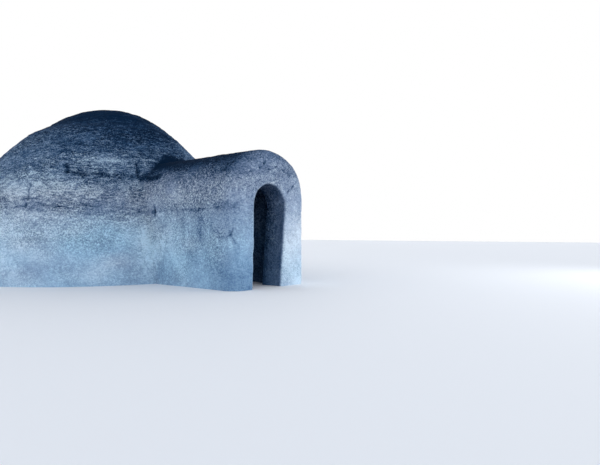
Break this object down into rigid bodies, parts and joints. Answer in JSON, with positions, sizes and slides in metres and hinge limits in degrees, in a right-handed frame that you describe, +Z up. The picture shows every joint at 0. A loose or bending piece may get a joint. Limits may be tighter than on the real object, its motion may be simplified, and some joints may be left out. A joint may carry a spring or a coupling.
{
  "type": "igloo",
  "caption": "Domed snow house with a short vaulted entrance passage and an open arched doorway, hollow inside.",
  "frame": {"origin": "on the ground, in the middle of the footprint's length and width", "axes": "+Z up, -Y out of the doorway along the passage, X across the passage"},
  "size_m": [6.8996, 9.058, 4.13],
  "materials": {
    "wall_snow": "packed snow, matt, layered",
    "passage_snow": "packed snow, matt, streaked",
    "crown_snow": "packed snow, matt, coarse"
  },
  "bodies": {
    "root": {"crown_block": "crown_snow", "dome_lift_1_segment_1": "wall_snow", "dome_lift_1_segment_2": "wall_snow", "dome_lift_1_segment_3": "wall_snow", "dome_lift_1_segment_4": "wall_snow", "dome_lift_1_segment_5": "wall_snow", "dome_lift_1_segment_6": "wall_snow", "dome_lift_1_segment_7": "wall_snow", "dome_lift_2_segment_1": "wall_snow", "dome_lift_2_segment_2": "wall_snow", "dome_lift_2_segment_3": "wall_snow", "dome_lift_2_segment_4": "wall_snow", "dome_lift_2_segment_5": "wall_snow", "dome_lift_3_segment_1": "wall_snow", "dome_lift_3_segment_2": "wall_snow", "dome_lift_3_segment_3": "wall_snow", "dome_lift_3_segment_4": "wall_snow", "dome_lift_3_segment_5": "wall_snow", "dome_lift_3_segment_6": "wall_snow", "dome_lift_4_segment_1": "wall_snow", "dome_lift_4_segment_2": "wall_snow", "dome_lift_4_segment_3": "wall_snow", "dome_lift_4_segment_4": "wall_snow", "dome_lift_4_segment_5": "wall_snow", "dome_lift_5_segment_1": "crown_snow", "dome_lift_5_segment_2": "crown_snow", "dome_lift_5_segment_3": "crown_snow", "dome_lift_5_segment_4": "crown_snow", "dome_lift_6_segment_1": "crown_snow", "dome_lift_6_segment_2": "crown_snow", "dome_lift_6_segment_3": "crown_snow", "dome_saddle_left": "wall_snow", "dome_saddle_right": "wall_snow", "passage_cheek_left": "passage_snow", "passage_cheek_right": "passage_snow", "passage_shoulder_left": "passage_snow", "passage_shoulder_right": "passage_snow", "passage_vault_left": "passage_snow", "passage_vault_right": "passage_snow", "passage_wall_left": "passage_snow", "passage_wall_right": "passage_snow", "portal_head": "passage_snow", "portal_jamb_left": "passage_snow", "portal_jamb_right": "passage_snow"}
  },
  "joints": []
}
